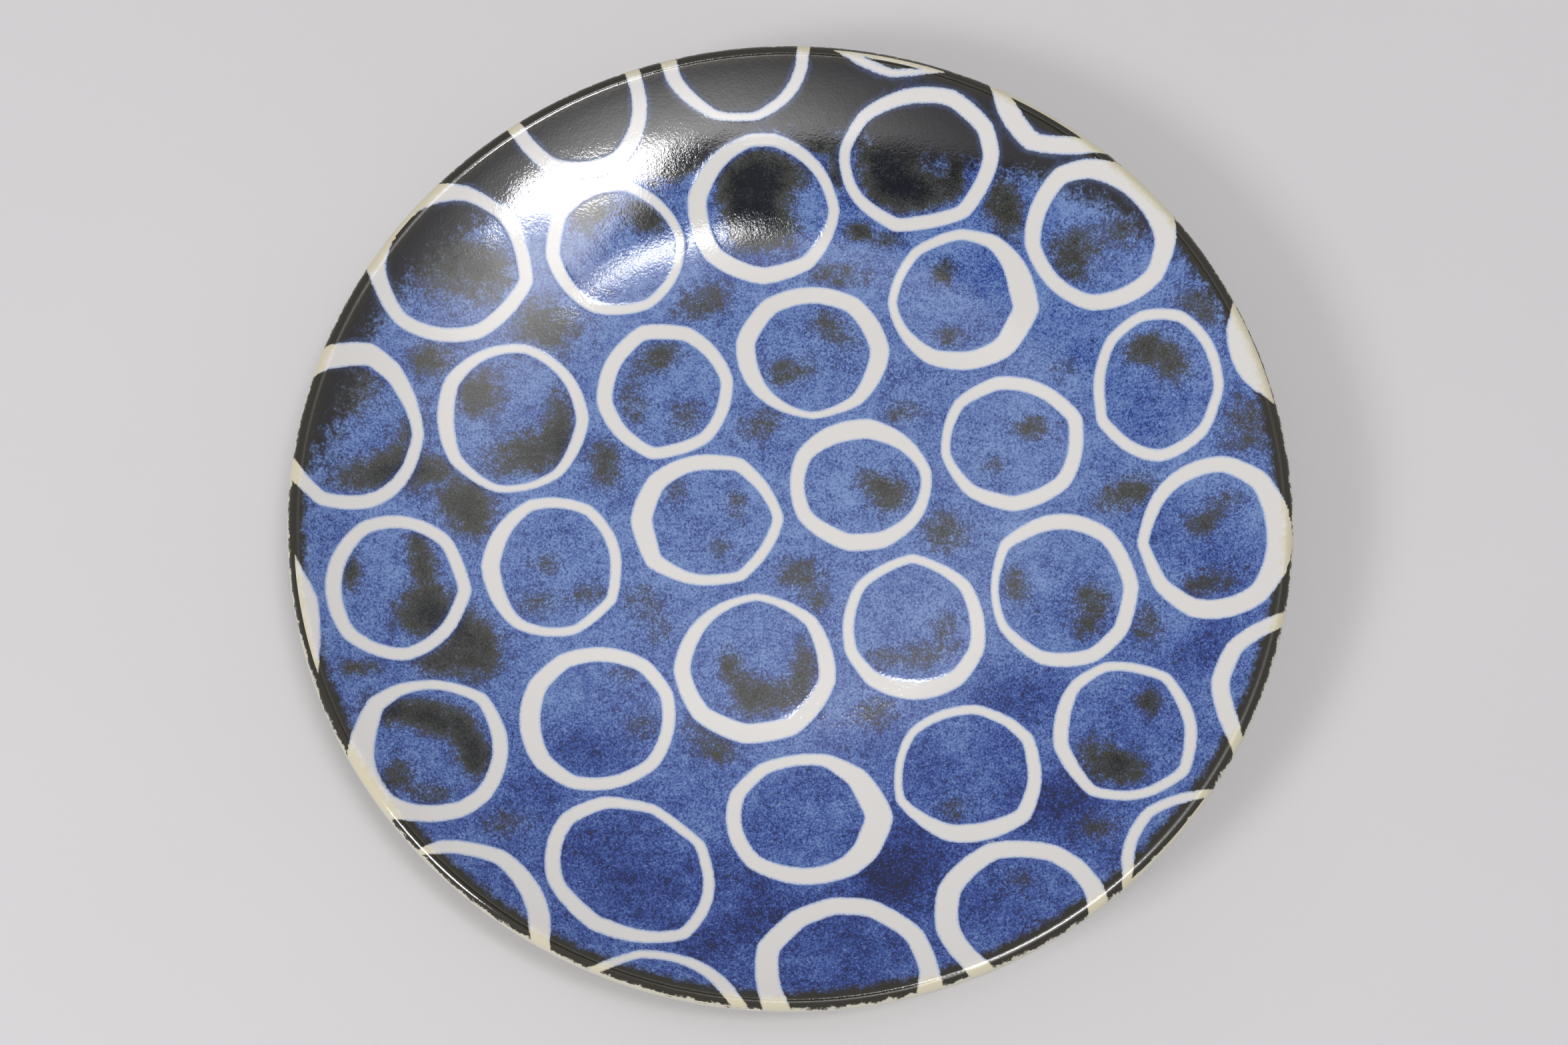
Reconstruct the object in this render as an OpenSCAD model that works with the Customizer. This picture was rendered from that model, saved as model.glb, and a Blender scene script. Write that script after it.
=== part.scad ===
// Hand painted ceramic plate: a thrown stoneware disc with a curved wall, standing on a turned foot.
// Its face carries a blue ground and hand drawn white rings, under a clear gloss coat.
// Every coat and every painted stroke is a solid of its own, lying face to face with its neighbours.
// Origin: middle of the foot's standing face. +Z is up and the plate is turned about the Z axis.

/* [Plate] */
// Outside diameter over the lip
plate_d = 280; // [230:1:340]
// Height from the table to the top of the lip
plate_h = 30; // [25:0.5:40]
// Diameter of the level middle, where the wall starts to rise
floor_d = 124; // [100:1:150]
// Thickness of the clay, in the middle and in the wall
wall_t = 4.6; // [3.6:0.1:6.5]

/* [Foot] */
// Outside diameter of the foot ring
foot_d = 150; // [124:1:184]
// Depth of the hollow inside the foot ring
foot_h = 6; // [5:0.1:9]
// Width of the foot ring at its edge
foot_w = 6; // [4:0.1:9]
// How far each side of the foot ring leans out at its root
foot_lean = 1.5; // [0:0.1:3]
// Bevel on both edges that the plate stands on
foot_bevel = 1; // [0.5:0.1:1.5]

/* [Coats] */
// Thickness of the clear gloss over the painting
gloss_t = 0.4; // [0.3:0.05:0.6]
// Thickness of the painted layer
paint_t = 0.5; // [0.4:0.05:0.8]
// Thickness of the glaze on the back
back_t = 0.4; // [0.3:0.05:0.8]

/* [Rings] */
// Width of every brush stroke, as a multiple of its drawn width
brush = 1; // [0.7:0.05:1.2]
// How far a corner in a stroke stands out, as a share of the ring's reach
corner_lift = 0.03; // [0:0.005:0.05]
// How far along the stroke a corner is felt, in degrees each way
corner_spread = 28; // [15:1:40]

/* [Hidden] */
$fn = 240;
// Points around a ring's outline, steps from the level middle to the lip, and steps around the lip
ring_points = 36;
wall_steps = 12;
lip_steps = 18;
// Radius of the painted layer, at its widest, that the rings are drawn for
drawn_r = 136.116;

// One row per ring: its middle [x, y], how far it is turned, its reach to its own right, top, left
// and bottom, the stroke's width in the same four places, and the directions of its corners.
// A corner written twice is a sharp one. Rings along the edge run on over the lip, which trims them.
rings = [
    [[-62, 121.5], 0, [21.5, 21.5, 21.5, 21.5], [4.5, 4.5, 4.5, 5], [190, 250, 310]],
    [[-14.5, 136], 0, [22, 20, 22.5, 18], [4, 4, 5, 2.5], [200, 250, 290]],
    [[38, 149.7], 0, [36, 21, 29.5, 21], [2.5, 2.5, 4.5, 2.2], [250]],
    [[86, 125], 0, [22, 22, 26, 22], [5, 5, 6, 5], [230, 230, 280]],
    [[-96.5, 73.5], 50, [22, 22.5, 25, 21.5], [4, 6, 4.5, 4.5], [0, 30, 140, 180, 240, 300, 300]],
    [[-50.5, 81], 0, [20.5, 20, 20.5, 20.5], [3, 3.5, 4.5, 3.5], [10, 80, 150, 190, 250, 300]],
    [[-7, 92.5], 0, [22.5, 22.5, 22.5, 22], [3.5, 4, 6, 5.5], [0, 80, 100, 170, 220, 270, 310]],
    [[39, 106], 0, [23.5, 20.5, 23.5, 20.5], [5, 4.5, 3.5, 4.5], [0, 20, 60, 140, 170, 250, 250, 310, 310]],
    [[51, 64], 0, [22, 21.5, 21.5, 21.5], [8, 3.5, 3, 6], [60, 90, 130, 180, 240, 310, 350, 350]],
    [[91, 79.5], 310, [22, 20, 23.5, 20], [5.5, 7, 5.5, 4.5], [10, 40, 150, 170, 170, 230, 310]],
    [[-123, 22.5], 0, [18.5, 25, 22, 24], [3.5, 7, 4, 4.5], [0, 60, 80, 80, 250, 250]],
    [[-80, 29], 0, [22, 22.5, 21.5, 22.5], [4, 3, 5, 2.5], [0, 80, 150, 220, 260, 310]],
    [[-36, 37.5], 0, [20, 21, 20, 20.5], [4, 5, 5, 4], [10, 70, 110, 110, 190, 260, 260, 310]],
    [[7, 49], 0, [22.5, 21, 22.5, 20.5], [6, 5.5, 6, 2.5], [0, 50, 130, 170, 270, 310]],
    [[105.5, 35], 0, [18, 22.5, 18, 22.5], [3, 3.5, 3.5, 4], [70, 100, 130, 210, 210, 270, 310, 350]],
    [[144, 45], 0, [20, 23, 19.5, 21], [4.5, 4.5, 4.5, 4.5], [170]],
    [[64, 20.5], 0, [21, 20.5, 20.5, 20.5], [4.5, 4.5, 3, 5], [20, 20, 100, 140, 190, 230, 270, 320]],
    [[20, 8.5], 0, [21, 20, 20.5, 20], [3.5, 6.5, 4.5, 5.5], [10, 80, 150, 210, 260, 290]],
    [[-24, -1.5], 0, [21.5, 20, 21.5, 20], [3.5, 5, 6.5, 3.5], [0, 0, 60, 60, 140, 180, 220, 220, 300, 300]],
    [[118.5, -11], 0, [20, 23.5, 20, 24.5], [6.5, 5, 3.5, 6], [50, 80, 180, 180, 220, 250, 300]],
    [[-67.5, -15], 0, [20, 21, 20, 21], [3.5, 3.5, 5.5, 3], [60, 110, 180, 240, 290, 330, 330]],
    [[-110, -22.5], 0, [19.5, 21.5, 19, 21.5], [4, 4, 4.5, 4], [0, 0, 50, 120, 230, 280]],
    [[-148, -43], 0, [20, 33, 20, 30], [4, 4, 4, 4], [40]],
    [[77, -23.5], 0, [20.5, 23, 21, 23], [4.5, 5, 2.5, 4.5], [0, 50, 140, 140, 210, 250, 290, 320]],
    [[-10, -45], 0, [22.5, 21.5, 23, 21.5], [5, 2.5, 5, 6], [40, 90, 180, 220, 260, 300, 350]],
    [[34.5, -34], 0, [20.5, 21, 20.5, 21], [4.5, 3, 3.5, 5.5], [40, 90, 90, 140, 200, 230, 310, 340]],
    [[-54, -59], 0, [22, 21, 22, 21], [4, 4.5, 6, 4], [20, 50, 120, 150, 220, 250, 320]],
    [[-98.5, -69], 0, [21, 20.5, 21, 21], [4.5, 3, 6.5, 5], [50, 50, 120, 140, 140, 240, 300, 320]],
    [[3.5, -87.5], 0, [23, 18.5, 22.5, 19], [8, 3.5, 4.5, 5], [0, 0, 40, 70, 130, 160, 220, 310, 330]],
    [[48, -76], 0, [20.5, 20, 20.5, 19.5], [4, 3, 2.5, 5.5], [30, 30, 50, 80, 140, 200, 200, 250, 320, 320]],
    [[90.5, -65.5], 0, [19.5, 20.5, 19, 20], [3.5, 3, 4.5, 3], [50, 50, 100, 130, 190, 240, 240, 320, 320]],
    [[-44.5, -101.5], 330, [25, 19, 24, 19], [3.5, 3, 4.5, 4.5], [50, 50, 100, 140, 170, 220, 270, 340, 340]],
    [[13.5, -130.5], 0, [24, 21, 24.5, 20], [5.5, 5, 6.5, 6], [0, 30, 70, 100, 130, 160, 160]],
    [[60, -115], 0, [22.5, 20.5, 23, 21], [5.5, 5, 6.5, 5], [20, 40, 60, 110, 160, 190]],
    [[137, -57], 0, [20, 22.5, 23, 29], [4.5, 4.5, 5, 5], [140, 170]],
    [[108, -104], 0, [20, 21, 22, 20], [3, 3, 3.5, 4], [130]],
    [[-90, -119], 0, [26.5, 25, 20, 20], [6, 4, 4, 4], [60, 100]],
    [[-37, -146], 0, [26, 22.5, 28, 20], [4.5, 2.5, 3, 3], [100]],
];

function ring_name(k) = str(k < 9 ? "ring_0" : "ring_", k + 1);

// Depth of each boundary below the gloss surface
paint_top = gloss_t;
clay_top = paint_top + paint_t;
clay_bottom = clay_top + wall_t;
back_bottom = clay_bottom + back_t;
half_t = back_bottom / 2;

// The middle of the wall is one arc: level where it leaves the floor, and ending in the lip's middle
wall_run = (plate_d - floor_d) / 2 - half_t;
wall_rise = plate_h - foot_h - back_bottom;
arc_r = (pow(wall_run, 2) + pow(wall_rise, 2)) / (2 * wall_rise);
arc_z = foot_h + half_t + arc_r;
lip_a = asin(wall_run / arc_r);

// Point [radius, height] at a depth below the gloss, at an angle along the wall's arc
function arc_at(depth) = arc_r - half_t + depth;
function wall_at(depth, a) = [floor_d / 2, arc_z] + arc_at(depth) * [sin(a), -cos(a)];
function boundary(depth) = concat(
    [[0, wall_at(depth, 0)[1]]],
    [for (k = [0:wall_steps]) wall_at(depth, lip_a * k / wall_steps)]
);
function reversed(v) = [for (k = [len(v) - 1:-1:0]) v[k]];

// Points of the half round that ends the wall, between the ends of two boundaries
function around_lip(top, bottom) = [
    for (k = [1:lip_steps - 1]) let (a = lip_a + 90 - 180 * k / lip_steps)
        wall_at((top + bottom) / 2, lip_a) + (bottom - top) / 2 * [cos(a), sin(a)]
];

// The foot ring's section runs a little way into the clay, which trims it
foot_bite = 1;
foot_top_r = foot_d / 2 + foot_lean;
foot_rise = arc_at(clay_bottom) - sqrt(pow(arc_at(clay_bottom), 2) - pow(foot_top_r - floor_d / 2, 2));
foot_top = foot_h + back_t + foot_rise + foot_bite;

// Where a ring's stroke runs: edge 0 is its outer side and edge 1 its inner side
function quarter(four, a) = [cos(a) > 0 ? four[0] : four[2], sin(a) > 0 ? four[1] : four[3]];
function reach(ring, a) = let (q = quarter(ring[2], a)) 1 / norm([cos(a) / q[0], sin(a) / q[1]]);
function stroke(ring, a) = brush * quarter(ring[3], a) * [pow(cos(a), 2), pow(sin(a), 2)];
function turn_between(a, b) = abs((a - b + 540) % 360 - 180);
function near(a, corner) = pow(max(0, 1 - turn_between(a, corner) / corner_spread), 2);
function felt(ring, a) = [for (c = ring[4]) near(a, c)] * [for (c = ring[4]) 1];
function lift(ring, a) = 1 + corner_lift * (felt(ring, a) - 0.5);
function ring_r(ring, a, edge) = reach(ring, a) * lift(ring, a) - edge * stroke(ring, a);
function ring_at(ring, a, edge) = ring[0] + ring_r(ring, a, edge) * [cos(a + ring[1]), sin(a + ring[1])];

module layer(top, bottom) {
    polygon(concat(boundary(top), reversed(boundary(bottom))));
}

module lip_section() {
    polygon(concat(
        [wall_at(clay_top, lip_a), wall_at(0, lip_a)],
        around_lip(0, back_bottom),
        [wall_at(back_bottom, lip_a), wall_at(clay_bottom, lip_a)],
        reversed(around_lip(clay_top, clay_bottom))
    ));
}

module clay_section() {
    polygon(concat(
        boundary(clay_top),
        around_lip(clay_top, clay_bottom),
        reversed(boundary(clay_bottom))
    ));
}

module foot_section() {
    out = foot_d / 2;
    in = out - foot_w;
    polygon([
        [in + foot_bevel, 0], [out - foot_bevel, 0], [out, foot_bevel],
        [out + foot_lean, foot_top], [in - foot_lean, foot_top], [in, foot_bevel],
    ]);
}

module back_section() {
    difference() {
        layer(clay_bottom, back_bottom);
        foot_section();
    }
}

module inside_foot() {
    square([(foot_d - foot_w) / 2, plate_h]);
}

module outline(ring, edge) {
    step = 360 / ring_points;
    drawn = [for (a = [0:step:360 - step]) ring_at(ring, a, edge)];
    scale(wall_at(clay_top, lip_a)[0] / drawn_r) polygon(drawn);
}

module painted_layer() {
    rotate_extrude() layer(paint_top, clay_top);
}

module clay_body() {
    color("tan") rotate_extrude() clay_section();
}

module foot_ring() {
    color("burlywood") rotate_extrude() difference() {
        foot_section();
        layer(clay_top, clay_bottom);
    }
}

module back_glaze() {
    color("cornsilk") rotate_extrude() difference() {
        back_section();
        inside_foot();
    }
}

module foot_well_glaze() {
    color("cornsilk") rotate_extrude() intersection() {
        back_section();
        inside_foot();
    }
}

module lip_glaze() {
    color("darkkhaki") rotate_extrude() lip_section();
}

module blue_ground() {
    color("royalblue") difference() {
        painted_layer();
        for (ring = rings) linear_extrude(plate_h) outline(ring, 0);
    }
}

module ring_centres() {
    color("cornflowerblue") intersection() {
        painted_layer();
        for (ring = rings) linear_extrude(plate_h) outline(ring, 1);
    }
}

module clear_gloss() {
    color("lightcyan", 0.3) rotate_extrude() layer(0, paint_top);
}

module painted_ring(ring) {
    color("gainsboro") intersection() {
        painted_layer();
        linear_extrude(plate_h) difference() {
            outline(ring, 0);
            outline(ring, 1);
        }
    }
}

clay_body();
foot_ring();
back_glaze();
foot_well_glaze();
lip_glaze();
blue_ground();
ring_centres();
clear_gloss();
for (k = [0:len(rings) - 1]) {
    painted_ring(rings[k]);
}
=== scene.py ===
"""The hand painted plate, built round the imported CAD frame.

The painted face is one fine skin, cut along the brush strokes that the CAD nodes outline, so that each
stroke has a visual piece of its own and the pieces meet without a seam. Lengths are in millimetres
until a mesh is made, apart from the lights and the floor, which are placed in metres. The plate's
shape is worked out from the frame.
"""

import math

import bpy
import numpy as np
from mathutils import Matrix, Vector, geometry, kdtree, noise


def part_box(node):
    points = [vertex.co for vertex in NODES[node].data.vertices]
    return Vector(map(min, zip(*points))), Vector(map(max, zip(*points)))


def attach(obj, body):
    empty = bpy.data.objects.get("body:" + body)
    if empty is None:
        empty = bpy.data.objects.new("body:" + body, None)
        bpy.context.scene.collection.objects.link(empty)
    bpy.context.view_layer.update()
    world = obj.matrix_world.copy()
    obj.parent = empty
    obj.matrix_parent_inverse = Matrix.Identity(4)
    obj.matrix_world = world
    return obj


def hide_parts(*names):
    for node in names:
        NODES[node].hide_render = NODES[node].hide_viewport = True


MM = 0.001

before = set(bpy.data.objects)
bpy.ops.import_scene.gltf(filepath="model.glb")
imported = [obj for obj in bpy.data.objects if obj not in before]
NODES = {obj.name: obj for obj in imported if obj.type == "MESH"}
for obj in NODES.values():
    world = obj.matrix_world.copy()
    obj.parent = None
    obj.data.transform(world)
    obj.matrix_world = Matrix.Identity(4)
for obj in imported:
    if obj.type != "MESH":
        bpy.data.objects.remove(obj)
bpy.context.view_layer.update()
RING_NAMES = sorted(n for n in NODES if n.startswith("ring_") and n != "ring_centres")

# How finely the strokes' edges, the open areas and the lip are built
EDGE_STEP = 1.0
AREA_STEP = 1.6
LIP_STEPS = 20
BACK_STEPS = 30
# Rows of points beside a stroke's edge, which carry the step between white and blue glaze
SHOULDERS = (0.45, 1.0)
# Passes of smoothing that turn the CAD outline's corners into a brushed line
SMOOTHING = 1
# How far the edges of a stroke that runs over the lip are carried on past the face
RUN_ON = 5.0
# Farthest that the two ends of a stroke's edge are followed to where they meet
MEETING_REACH = 60.0
# The white strokes lie this much lower than the blue glaze round them
STROKE_DIP = 0.03
# Height and length of the slow waves in the glaze
WAVE_HEIGHT = 0.05
WAVE_LENGTH = 17.0
# Thickness of the painted coat with its gloss, of the glaze on the back and of the foot's outer clay
COAT = 0.9
BACK_COAT = 0.4
FOOT_COAT = 1.5
# Step of the finely divided edges that distances are taken to
FINE_STEP = 0.25
# Points that lie nearer to a stroke's edge than this are on it
ON_EDGE = 0.13
# Room kept between the points of the open areas and the rows beside the edges
CLEARANCE = 0.7
# Outlines and stretches of outline that are shorter than this are left out
SHORTEST_LOOP = 5
SHORTEST_RUN = 1.5


# ---------------------------------------------------------------- what the frame says

def box_mm(name):
    """Lowest and highest corner of a CAD node, in millimetres."""
    low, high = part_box(name)
    return np.array(low) / MM, np.array(high) / MM


def welded(name):
    """Corners and triangles of a CAD node, with the corners that lie on one place made one."""
    data = NODES[name].data
    points = np.empty(len(data.vertices) * 3)
    data.vertices.foreach_get("co", points)
    data.calc_loop_triangles()
    corners = np.empty(len(data.loop_triangles) * 3, int)
    data.loop_triangles.foreach_get("vertices", corners)
    points, place = np.unique(np.round(points.reshape(-1, 3) / MM, 3), axis=0, return_inverse=True)
    return points, place.ravel()[corners].reshape(-1, 3)


def facing_up(name):
    """Corners of a CAD node, and those of its triangles that look up."""
    points, triangles = welded(name)
    a, b, c = (points[triangles[:, k]] for k in range(3))
    normal = np.cross(b - a, c - a)
    return points, triangles[normal[:, 2] > 0.7 * np.linalg.norm(normal, axis=1)]


def rim_edges(triangles):
    """The directed edges of a set of triangles that only one of them has."""
    edges = {(a, b) for t in triangles.tolist() for a, b in zip(t, t[1:] + t[:1])}
    return [(a, b) for a, b in edges if (b, a) not in edges]


def outlines(name):
    """Closed outlines, in plan, of the upper side of a CAD node."""
    points, triangles = facing_up(name)
    after = dict(sorted(rim_edges(triangles)))
    found = []
    while after:
        start = min(after)
        loop, at = [start], after.pop(start)
        while at != start and at in after:
            loop.append(at)
            at = after.pop(at)
        found.append(points[loop][:, :2])
    return [loop for loop in found if len(loop) > 3 and path_length(loop) > SHORTEST_LOOP]


def path_length(path):
    return np.linalg.norm(np.diff(path, axis=0), axis=1).sum()


class Section:
    """The plate's cross-section: a level middle, an arc that rises to the lip, and the half round lip."""

    def __init__(self):
        points, triangles = facing_up("clear_gloss")
        top = points[np.unique(triangles)]
        r = np.hypot(top[:, 0], top[:, 1])
        self.floor_z = top[:, 2].min()
        self.floor_r = r[top[:, 2] < self.floor_z + 0.005].max()
        self.face_r = r.max()
        self.face_z = top[:, 2].max()
        run, rise = self.face_r - self.floor_r, self.face_z - self.floor_z
        self.arc_r = (run * run + rise * rise) / (2 * rise)
        self.end = math.asin(run / self.arc_r)
        back_low = box_mm("foot_well_glaze")[0][2]
        self.depth = self.floor_z - back_low
        self.lip_r = self.depth / 2

    def along_arc(self, angle, depth):
        """Radius and height on the wall's arc, at a depth under the face."""
        reach = self.arc_r + depth
        return (
            self.floor_r + reach * np.sin(angle),
            self.floor_z + self.arc_r - reach * np.cos(angle),
        )

    def face_height(self, r):
        """Height of the gloss face at a radius."""
        out = np.clip(r - self.floor_r, 0, self.arc_r)
        return self.floor_z + self.arc_r - np.sqrt(self.arc_r**2 - out**2)

    def round_lip(self, share):
        """Radius and height on the lip, from the face's edge (0) to the back's edge (1)."""
        middle_r, middle_z = self.along_arc(self.end, self.lip_r)
        turn = self.end + math.pi / 2 - math.pi * share
        return middle_r + self.lip_r * np.cos(turn), middle_z + self.lip_r * np.sin(turn)

    def from_crest(self, share):
        """Distance over the lip from its crest, more than 0 on the outside."""
        return self.lip_r * (math.pi * share - self.end)

    def crest_to_face(self, r):
        """The same distance for a place on the face, so it is less than 0."""
        out = np.clip(r - self.floor_r, 0, self.arc_r)
        return -self.lip_r * self.end - self.arc_r * (self.end - np.arcsin(out / self.arc_r))


SECTION = Section()


# ---------------------------------------------------------------- brushed lines

def resampled(path, step, closed):
    """The path again, with its points a step apart."""
    whole = np.vstack([path, path[:1]]) if closed else path
    along = np.concatenate([[0], np.cumsum(np.linalg.norm(np.diff(whole, axis=0), axis=1))])
    count = max(8, round(along[-1] / step))
    at = np.linspace(0, along[-1], count, endpoint=not closed)
    return np.column_stack([np.interp(at, along, whole[:, k]) for k in range(2)])


def smoothed(path, closed):
    """The path with its corners eased. An open path keeps its ends."""
    for _ in range(SMOOTHING):
        eased = (np.roll(path, 1, axis=0) + 2 * path + np.roll(path, -1, axis=0)) / 4
        if not closed:
            eased[0], eased[-1] = path[0], path[-1]
        path = eased
    return path


def run_on(path):
    """An open path, carried on straight at both ends."""
    first = path[0] - path[2]
    last = path[-1] - path[-3]
    return np.vstack([
        path[0] + RUN_ON * first / np.linalg.norm(first),
        path,
        path[-1] + RUN_ON * last / np.linalg.norm(last),
    ])


def open_runs(loop, edge_r):
    """The stretches of a closed outline that lie inside a radius, each with its two ends on it."""
    on_edge = np.hypot(loop[:, 0], loop[:, 1]) > edge_r
    start = int(np.argmax(on_edge))
    loop, on_edge = np.roll(loop, -start, axis=0), np.roll(on_edge, -start)
    runs, at = [], 0
    while at < len(loop):
        if on_edge[at]:
            at += 1
            continue
        stop = at
        while stop < len(loop) and not on_edge[stop]:
            stop += 1
        runs.append(np.vstack([loop[at - 1], loop[at:stop], loop[stop % len(loop)]]))
        at = stop
    return [run for run in runs if path_length(run) > SHORTEST_RUN]


def arc_to(a, b):
    """Points on the short arc from a to b, outside the plate."""
    r = max(np.linalg.norm(a), np.linalg.norm(b))
    start = math.atan2(a[1], a[0])
    swing = (math.atan2(b[1], b[0]) - start + math.pi) % (2 * math.pi) - math.pi
    turns = start + swing * np.linspace(0, 1, 12)
    return r * np.column_stack([np.cos(turns), np.sin(turns)])


def held_by(closed_lines, points):
    """Which of the points lie inside a shape that closed lines go round."""
    inside = np.zeros(len(points), bool)
    for line in closed_lines:
        low, high = line.min(0), line.max(0)
        near = np.where(np.all((points > low) & (points < high), axis=1))[0]
        x, y = points[near, 0][:, None], points[near, 1][:, None]
        x0, y0 = line[:, 0], line[:, 1]
        x1, y1 = np.roll(x0, -1), np.roll(y0, -1)
        spans = (y0 > y) != (y1 > y)
        slope = (x1 - x0) / np.where(y1 == y0, 1, y1 - y0)
        crossed = (spans & (x < x0 + (y - y0) * slope)).sum(1) % 2 == 1
        inside[near[crossed]] ^= True
    return inside


def closed_beyond(run):
    """A run that starts and ends at the face's edge, closed outside it the way its ends lead."""
    out, back, gap = run[-1] - run[-3], run[0] - run[2], run[0] - run[-1]
    out, back = out / np.linalg.norm(out), back / np.linalg.norm(back)
    cross = out[0] * back[1] - out[1] * back[0]
    if abs(cross) > 0.001:
        ahead = (gap[0] * back[1] - gap[1] * back[0]) / cross
        behind = (gap[0] * out[1] - gap[1] * out[0]) / cross
        if 0 < ahead < MEETING_REACH and 0 < behind < MEETING_REACH:
            share = np.linspace(0, 1, 16)[1:-1, None]
            peak = run[-1] + ahead * out
            far_end = (1 - share)**2 * run[-1] + 2 * share * (1 - share) * peak + share**2 * run[0]
            return np.vstack([run, far_end])
    longer = run_on(run)
    return np.vstack([longer, arc_to(longer[-1], longer[0])])


class Stroke:
    """One white ring: its brushed edges, and closed outlines that say what lies inside it."""

    def __init__(self, name, edge_r):
        self.name = name
        self.edges, self.closed, self.outlines = [], [], []
        for loop in outlines(name):
            if np.hypot(loop[:, 0], loop[:, 1]).max() < edge_r:
                edge = smoothed(resampled(loop, EDGE_STEP, True), True)
                self.add(edge, True)
                self.outlines.append(edge)
                continue
            for run in open_runs(loop, edge_r):
                run = smoothed(resampled(run, EDGE_STEP, False), False)
                self.add(run_on(run), False)
                self.outlines.append(closed_beyond(run))

    def add(self, edge, closed):
        self.edges.append(edge)
        self.closed.append(closed)


def inside_face(path):
    """The stretch of a run-on path that lies on the face, ending exactly on the face's edge."""
    r = np.hypot(path[:, 0], path[:, 1])
    within = np.where(r < SECTION.face_r - 0.05)[0]
    first, last = within[0], within[-1]

    def meeting(a, b):
        share = (SECTION.face_r - r[a]) / (r[b] - r[a])
        point = path[a] + share * (path[b] - path[a])
        return point * SECTION.face_r / np.linalg.norm(point)

    return np.vstack([meeting(first, first - 1), path[first:last + 1], meeting(last, last + 1)])


# ---------------------------------------------------------------- the skin of the face

def nearest(points):
    """A finder for the distance to a set of points in plan."""
    tree = kdtree.KDTree(len(points))
    for k, p in enumerate(points):
        tree.insert((p[0], p[1], 0), k)
    tree.balance()
    return lambda p: tree.find((p[0], p[1], 0))[2]


def shoulder_points(edge, closed):
    """Rows of points on both sides of a stroke's edge."""
    if closed:
        along = np.roll(edge, -1, axis=0) - np.roll(edge, 1, axis=0)
    else:
        along = np.gradient(edge, axis=0)
    along /= np.linalg.norm(along, axis=1)[:, None]
    across = np.column_stack([-along[:, 1], along[:, 0]])
    return [(edge + side * gap * across, gap) for gap in SHOULDERS for side in (-1, 1)]


def area_points():
    """A grid of staggered points over the face."""
    rise = AREA_STEP * math.sqrt(3) / 2
    rows = int(SECTION.face_r / rise)
    found = []
    for row in range(-rows, rows + 1):
        shift = AREA_STEP / 2 * (row % 2)
        x = np.arange(-SECTION.face_r, SECTION.face_r, AREA_STEP) + shift
        found.append(np.column_stack([x, np.full(len(x), row * rise)]))
    return np.vstack(found)


def cut_face(strokes):
    """The face in plan, cut along every stroke: points, triangles, and which points lie on an edge."""
    edges = []
    for stroke in strokes:
        for edge, closed in zip(stroke.edges, stroke.closed):
            edges.append((edge if closed else inside_face(edge), closed))
    ends = np.vstack([path[[0, -1]] for path, closed in edges if not closed])
    turns = np.arctan2(ends[:, 1], ends[:, 0])
    steps_round = round(2 * math.pi * SECTION.face_r / (EDGE_STEP * 1.1))
    even = np.linspace(-math.pi, math.pi, steps_round, endpoint=False)
    clear = np.abs((even[:, None] - turns + math.pi) % (2 * math.pi) - math.pi).min(1)
    turns = np.sort(np.concatenate([turns, even[clear * SECTION.face_r > 0.4]]))
    border = SECTION.face_r * np.column_stack([np.cos(turns), np.sin(turns)])

    points = [border]
    links = [(k, (k + 1) % len(border)) for k in range(len(border))]
    count = len(border)
    for path, closed in edges:
        if closed:
            links += [(count + k, count + (k + 1) % len(path)) for k in range(len(path))]
            points.append(path)
            count += len(path)
            continue
        at_ends = [int(np.argmin(np.linalg.norm(border - path[k], axis=1))) for k in (0, -1)]
        chain = [at_ends[0], *range(count, count + len(path) - 2), at_ends[1]]
        links += list(zip(chain, chain[1:]))
        points.append(path[1:-1])
        count += len(path) - 2

    from_edge = nearest(np.vstack([resampled(p, FINE_STEP, c) for p, c in edges]))
    free = []
    for path, closed in edges:
        for row, gap in shoulder_points(path, closed):
            free += [p for p in row if from_edge(p) > 0.85 * gap]
    from_shoulder = nearest(np.array(free))
    limit = SECTION.face_r - 0.5
    free = [p for p in free if math.hypot(*p) < limit]
    free += [
        p for p in area_points()
        if math.hypot(*p) < limit and from_edge(p) > CLEARANCE and from_shoulder(p) > CLEARANCE
    ]
    points.append(np.array(free))
    plan = [Vector(p) for p in np.vstack(points).tolist()]
    cut = geometry.delaunay_2d_cdt(plan, links, [], 0, 1e-5, False)
    plan = np.array([tuple(p) for p in cut[0]])
    triangles = np.array([f for f in cut[2] if len(f) == 3])
    a, b, c = (plan[triangles[:, k]] for k in range(3))
    area = (b[:, 0] - a[:, 0]) * (c[:, 1] - a[:, 1]) - (b[:, 1] - a[:, 1]) * (c[:, 0] - a[:, 0])
    triangles[area < 0] = triangles[area < 0][:, ::-1]
    return plan, triangles[np.abs(area) > 1e-6], from_edge


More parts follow.
